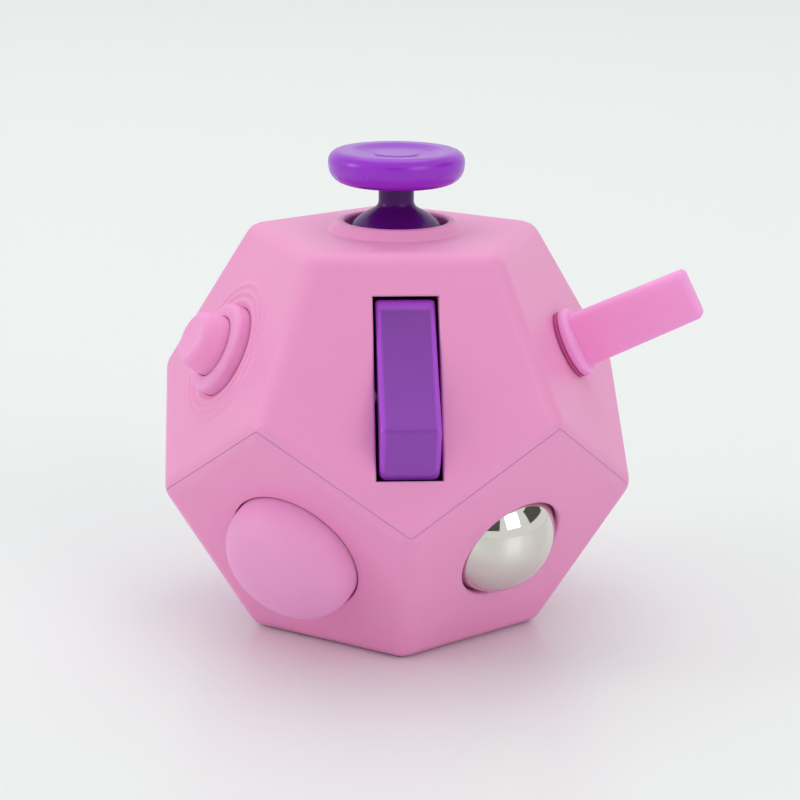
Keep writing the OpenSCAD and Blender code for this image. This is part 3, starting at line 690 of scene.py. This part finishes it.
paddle = bar(side_outline, rocker_width)
corner_edges = [e for e in paddle.edges if min(abs(v.co.y) for v in e.verts) > end_high[0] - 0.12
                and abs(e.verts[0].co.z - e.verts[1].co.z) > 0.2]
rounded(paddle, corner_edges, 0.8, 4)
rim_edges = [e for e in paddle.edges if e.is_manifold and min(v.co.z for v in e.verts) > end_low[1] + 0.1
             and max(f.normal.z for f in e.link_faces) > 0.4
             and min(f.normal.z for f in e.link_faces) < 0.25]
rounded(paddle, rim_edges, 0.45, 3)
pin_bore = 0.86
paddle = combine(paddle, rod(pin_bore, rocker_width + 2, 32))
paddle.transform(Matrix.Rotation(-rocker_tilt, 4, "X"))
# Painted shade: the rocker's violet is a darker copy of the violet gloss, for the paddle in its opening.
SHADED_ROCKER_VIOLET = (0.235, 0.04, 0.39)
# Painted highlight: a lighter violet painted in a band along the paddle's sides and upper end.
PAINTED_HIGHLIGHT_VIOLET = (0.40, 0.06, 0.64)
paddle_end = 7.0
highlight_band, side_blur, end_blur = 0.6, 0.25, 0.35


def edge_lit(place):
    """Violet with a painted highlight on the sides and upper end, and painted shade towards the upper end.
    """
    local = on_face("rocker", *rocker_pivot).inverted()
    across = place.math("ABSOLUTE", place.along(local[0]), 0)
    up = place.along(local[1])
    side = (across - (rocker_width / 2 - highlight_band) * MM) * (1 / (side_blur * MM))
    end = (up - (paddle_end - rocker_pivot[1]) * MM) * (1 / (end_blur * MM))
    # Painted highlight: this mask is 1 in the band along the sides and the upper end.
    painted_highlight_mask = place.add("Clamp", {}, {"Value": side.math("MAXIMUM", side, end)})
    # Painted shade: the colour grows darker towards the paddle's upper end.
    painted_shade_ramp = place.add("MapRange", {}, {"Value": up, "From Min": -6 * MM, "From Max": 8 * MM,
                                      "To Min": 1.12, "To Max": 0.9})
    body = shaded(place, SHADED_ROCKER_VIOLET, painted_shade_ramp - 0.5, 0.55, 1.5)
    rim = place.add("Mix", {"data_type": "RGBA"}, {0: painted_highlight_mask, 6: body, 7: (*PAINTED_HIGHLIGHT_VIOLET, 1)}, 2)
    return {"Base Color": rim, "Roughness": 0.2 + noise(place, 5, 3) * 0.08,
            "Normal": bumped(place, noise(place, 0.8, 1), 0.0008)}


rocker_gloss = material("rocker_gloss_abs", SHADED_ROCKER_VIOLET, 0.25, gloss_constants, edge_lit)
piece("rocker_paddle", paddle, "rocker", "rocker", rocker_gloss,
      on_face("rocker", *rocker_pivot), 25)


# ---- Stepped button ----
# Two soft pink silicone steps slide one inside the other, each on its own coil, in a dark cup
# screwed under the face.
SOFT_PINK = (0.91, 0.36, 0.66)


def silicone(colour, depth=0.006):
    def paint(place):
        cloud = noise(place, 6, 2)
        grain = noise(place, 0.12, 2)
        return {"Base Color": shaded(place, colour, cloud, 0.96, 1.04),
                "Roughness": 0.5 + cloud * 0.06 + grain * 0.1,
                "Normal": bumped(place, grain, depth)}
    return paint


rubber_constants = {"IOR": 1.43, "Subsurface Weight": 0.5, "Subsurface Radius": (1.2, 0.35, 0.6),
                    "Subsurface Scale": 0.002}
soft_silicone = material("soft_pink_silicone", SOFT_PINK, 0.55, rubber_constants, silicone(SOFT_PINK))
inner_step = lathe([(0, -4.5), (4.3, -4.5, 0.15), (4.3, -3.7, 0.15), (3.08, -3.7), (3.08, 2.2, 0.6),
                    (2.75, 3.75, 0.9), (2.3, 4.1, 0.45), (1.3, 3.95, 1.0), (0, 3.92)], 72, 6)
piece("step_inner_cap", inner_step, "step_inner", "step_button_inner", soft_silicone,
      on_face("step"))
outer_step = lathe([(3.13, -3.4), (5.8, -3.4, 0.15), (5.8, -2.3, 0.15), (4.7, -2.3), (4.7, 1.5, 0.6),
                    (3.13, 1.5, 0.3)], 96, 6)
piece("step_outer_ring", outer_step, "step_outer", "step_button_outer", soft_silicone,
      on_face("step"))
piece("step_inner_coil", coil(2.4, 0.22, 4, -8.6, -4.5), "housing", "step_button_inner_spring",
      steel, on_face("step"))
piece("step_outer_coil", coil(5.2, 0.22, 3, -7.2, -3.4), "housing", "step_button_outer_spring",
      steel, on_face("step"))


# ---- Lever ----
# A hot-pink silicone paddle stands on a round flange. Its shaft turns in the shell over a rose
# washer, held from inside by a steel clip.
HOT_PINK = (1.0, 0.36, 0.72)
hot_silicone = material("hot_pink_silicone", HOT_PINK, 0.5, rubber_constants, silicone(HOT_PINK, 0.004))
lever_length = 13.9
paddle_low, paddle_high, paddle_thick = 5.5, 5.1, 2.8
blade = bmesh.new()
bmesh.ops.create_cube(blade, size=1)
blade.transform(Matrix.Translation((0, 0, (lever_length + 0.9) / 2))
                @ Matrix.Diagonal((paddle_thick, 1, lever_length - 0.9, 1)))
for v in blade.verts:
    v.co.y *= paddle_high if v.co.z > 5 else paddle_low
upright = [e for e in blade.edges if abs(e.verts[0].co.z - e.verts[1].co.z) > 1]
rounded(blade, upright, 0.75, 5)
tip = [e for e in blade.edges if min(v.co.z for v in e.verts) > lever_length - 0.01]
rounded(blade, tip, 0.5, 4)


def shaft(top):
    """The turning shaft under a lever or dial, with the groove for its clip."""
    return [(0, -3.4), (2.0, -3.4, 0.15), (2.0, -2.8), (1.4, -2.8), (1.4, -2.25), (2.0, -2.25), (2.0, top)]


flange = lathe(shaft(0.45) + [(3.6, 0.45, 0.3), (3.6, 1.4, 0.4), (2.0, 1.4), (0, 1.4)], 72, 5)
lever = combine(flange, blade, "UNION")
piece("lever_paddle", lever, "lever", "lever", hot_silicone, on_face("lever", y=lever_rise))

WASHER_ROSE = (0.55, 0.07, 0.27)
rose_washer = material("dark_rose_washer", WASHER_ROSE, 0.6, {"IOR": 1.45}, silicone(WASHER_ROSE))
piece("lever_washer_disc", lathe([(shaft_hole, 0.04), (3.5, 0.04, 0.1), (3.5, 0.42, 0.1),
                                  (shaft_hole, 0.42)], 64, 3),
      "housing", "lever_washer", rose_washer, on_face("lever", y=lever_rise))


# ---- Soft dome ----
# A matt pink silicone dome bulges through a round hole. Its flange is held under the shell by a
# seat ring, with a hair's gap round it.
dome_radius, dome_bulge, dome_wall = 6.95, 4.9, 1.0
fullness = 0.77


def pillow(radius, height, steps):
    """Half the dome's outline from its crown to its edge: a flat top and steep sides."""
    turns = [math.pi / 2 * k / steps for k in range(1, steps + 1)]
    return [(0, height)] + [(radius * math.sin(t) ** fullness, height * max(0, math.cos(t)) ** fullness)
                            for t in turns]


dome = lathe(pillow(dome_radius, dome_bulge, 32)
             + [(dome_radius, -2.3), (7.85, -2.3, 0.2), (7.85, -3.2, 0.2), (dome_radius - dome_wall, -3.2)]
             + pillow(dome_radius - dome_wall, dome_bulge - dome_wall, 16)[::-1], 128, 5)
matt_silicone = material("matt_pink_silicone", SOFT_PINK, 0.62, rubber_constants,
                         silicone(SOFT_PINK, 0.008))
piece("squeeze_dome", dome, "soft_dome", "soft_dome", matt_silicone, on_face("dome"))


# ---- Rolling ball ----
# A mirror-polished half-inch bearing ball turns in a slippery acetal cup, which clicks down on a
# coil inside its cage.
BEARING_STEEL = (0.74, 0.715, 0.665)
ACETAL_WHITE = (0.72, 0.68, 0.66)


def polished(place):
    wear = noise(place, 0.25, 3, (1, 1, 0.2))
    return {"Base Color": shaded(place, BEARING_STEEL, wear, 0.97, 1.03),
            "Roughness": 0.03 + wear * 0.05}


chrome_steel = material("polished_bearing_steel", BEARING_STEEL, 0.05, {"Metallic": 1.0}, polished)
piece("bearing_ball", ball(ball_radius, 128), "ball", "steel_ball", chrome_steel,
      on_face("ball", z=ball_depth))


def acetal(place):
    return {"Base Color": shaded(place, ACETAL_WHITE, noise(place, 3, 2), 0.92, 1.05),
            "Roughness": 0.3 + noise(place, 0.2, 2) * 0.15}


cup_finish = material("natural_acetal", ACETAL_WHITE, 0.35, {"IOR": 1.48}, acetal)


def cup_arc(radius, low, high, steps):
    """Heights on the cup's ball-shaped wall, from low to high, as lathe points."""
    turn = [math.asin((z - ball_depth) / radius) for z in (low, high)]
    return [(radius * math.cos(t), ball_depth + radius * math.sin(t))
            for t in (turn[0] + (turn[1] - turn[0]) * k / steps for k in range(steps + 1))]


cup = lathe([(0, -10.65), (2.0, -10.65, 0.2), (2.0, -10.01)] + cup_arc(6.95, -9.95, -5.1, 12)
            + [(7.3, -5.05), (7.3, -3.65, 0.15)] + cup_arc(6.45, -3.65, -9.65, 16)
            + [(0.9, -9.75), (0, -9.78)], 96, 3)
piece("ball_carrier_cup", cup, "ball_carrier", "ball_cup", cup_finish, on_face("ball"))
piece("ball_coil", coil(1.6, 0.15, 2, -12.0, -10.65), "housing", "ball_spring", steel,
      on_face("ball"))


# ---- Dial ----
# A violet thumb dial with eight finger scallops, a dished face and one raised nub turns on a
# shaft held by a clip.
dial_radius = 6.4
dial = lathe(shaft(0.45) + [(dial_radius, 0.45, 0.3), (dial_radius, 3.1, 0.7),
                            (dial_radius - 1.4, 3.0, 0.5), (dial_radius - 2.6, 2.72, 1.2), (0, 2.6)], 96, 5)
scallop_place = Matrix.Translation((dial_radius + 1.4, 0, 0))
scallops = together([moved(lathe([(0, 0), (2.0, 0), (2.0, 4), (0, 4)], 48),
                           Matrix.Rotation(math.radians(45 * k), 4, "Z") @ scallop_place)
                     for k in range(8)])
dial = combine(dial, scallops)
dial = combine(dial, moved(ball(1.1, 32), Matrix.Translation((0, dial_radius - 2.4, 2.4))), "UNION")
piece("thumb_dial", dial, "dial", "dial", violet_gloss, on_face("dial"))
piece("dial_washer_disc", lathe([(shaft_hole, 0.04), (3.6, 0.04, 0.1), (3.6, 0.4, 0.1),
                                 (shaft_hole, 0.4)], 64, 3),
      "housing", "dial_washer", rose_washer, on_face("dial"))


# ---- Click buttons ----
# Five small violet plungers stand over a silicone pad whose domes give each its click. A plate
# screwed to the shell backs the pad.
for i, place in enumerate(click_places, 1):
    plunger = lathe([(0, -3.2), (2.0, -3.2, 0.1), (2.0, -2.3, 0.1), (1.55, -2.3), (1.55, 1.3, 0.55),
                     (0.7, 1.3, 0.3), (0, 1.22)], 40, 5)
    piece(f"click_plunger_{i}", plunger, f"click_{i}", f"click_button_{i}", violet_gloss,
          on_face("click", *place))
pad = lathe([(0, -5.3), (6.8, -5.3, 0.15), (6.8, -4.5, 0.15), (0, -4.5)], 72, 3)
domes = [moved(lathe([(0, -4.7), (1.8, -4.7), (1.7, -4.4, 0.3), (1.1, -3.6, 0.2), (1.1, -3.3, 0.1),
                      (0, -3.3)], 28, 3), Matrix.Translation((*place, 0))) for place in click_places]
pad = combine(pad, together(domes), "UNION")
piece("click_pad_moulding", pad, "housing", "click_pad", soft_silicone, on_face("click"))


# ---- Toothed wheels ----
# Three blunt-toothed violet wheels turn freely side by side on one steel axle. The axle lies in a
# U-shaped nylon frame, screwed under the face.
wheel_width, wheel_pitch, teeth = 2.6, 3.1, 14


def gear_disc():
    """One wheel across X, its teeth and rims softened."""
    root = gear_tip - 1.0
    corners = []
    for k in range(teeth):
        for share, radius in ((0.05, root), (0.28, gear_tip), (0.72, gear_tip), (0.95, root)):
            turn = math.tau * (k + share) / teeth
            corners.append((radius * math.cos(turn), radius * math.sin(turn), 0.22))
    bm = bar(softened(corners, True, 3), wheel_width)
    rims = [e for e in bm.edges if abs(e.verts[0].co.x - e.verts[1].co.x) < 1e-4]
    rounded(bm, rims, 0.16, 2)
    return combine(bm, rod(pin_bore, wheel_width + 2, 32))


for i in range(3):
    piece(f"toothed_wheel_{i + 1}", gear_disc(), f"gear_{i + 1}", f"gear_wheel_{i + 1}",
          violet_gloss, on_face("gear", x=(i - 1) * wheel_pitch, z=gear_depth))


# ---- Slider ----
# A violet thumb slide with three grip ribs runs in a round-ended slot. A wavy leaf spring under
# it lies in a nylon tray, screwed under the face.
def block(x, y, low, high, soft=0.0):
    """A box centred on Z between two heights, its edges rounded."""
    bm = bmesh.new()
    bmesh.ops.create_cube(bm, size=1)
    bm.transform(Matrix.Translation((0, 0, (low + high) / 2)) @ Matrix.Diagonal((x, y, high - low, 1)))
    if soft:
        rounded(bm, bm.edges[:], soft, 4)
    return bm


slide = combine(block(3.4, 3.0, -3.0, 1.0), block(5.6, 5.0, 0.2, 1.6, 0.45), "UNION")
slide = combine(slide, block(5.6, 5.0, -3.3, -2.3, 0.15), "UNION")
ribs = together([moved(block(0.7, 4.2, 1.0, 2.2, 0.28), Matrix.Translation((x, 0, 0)))
                 for x in (-1.6, 0, 1.6)])
slide = combine(slide, ribs, "UNION")
piece("thumb_slide", slide, "slider", "slider", violet_gloss, on_face("slider"))


# ---- Roller ----
# A violet roller, fluted along its length between three grooves, spins on a steel axle in a
# nylon frame, screwed under the face.
flutes, roller_length = 30, 9.0
flute_depth = 0.22
rim = []
for k in range(2 * flutes):
    turn = math.pi * k / flutes
    rim.append((roller_radius - (flute_depth if k % 2 else 0.0)) * Vector((math.cos(turn), math.sin(turn))))
fluted = bar(softened([(p.x, p.y, 0.15) for p in rim], True, 2), roller_length)
ends = [e for e in fluted.edges if abs(e.verts[0].co.x - e.verts[1].co.x) < 1e-4]
rounded(fluted, ends, 0.18, 2)
grooves = together([moved(lathe([(roller_radius - 0.35, -0.35), (roller_radius + 1, -0.35),
                                 (roller_radius + 1, 0.35), (roller_radius - 0.35, 0.35)], 72),
                          Matrix.Translation((x, 0, 0)) @ Matrix.Rotation(math.pi / 2, 4, "Y"))
                    for x in (-2.6, 0, 2.6)])
fluted = combine(fluted, grooves)
fluted = combine(fluted, rod(pin_bore, roller_length + 2, 32))
piece("fluted_roller", fluted, "roller", "roller", violet_gloss,
      on_face("roller", z=roller_depth))
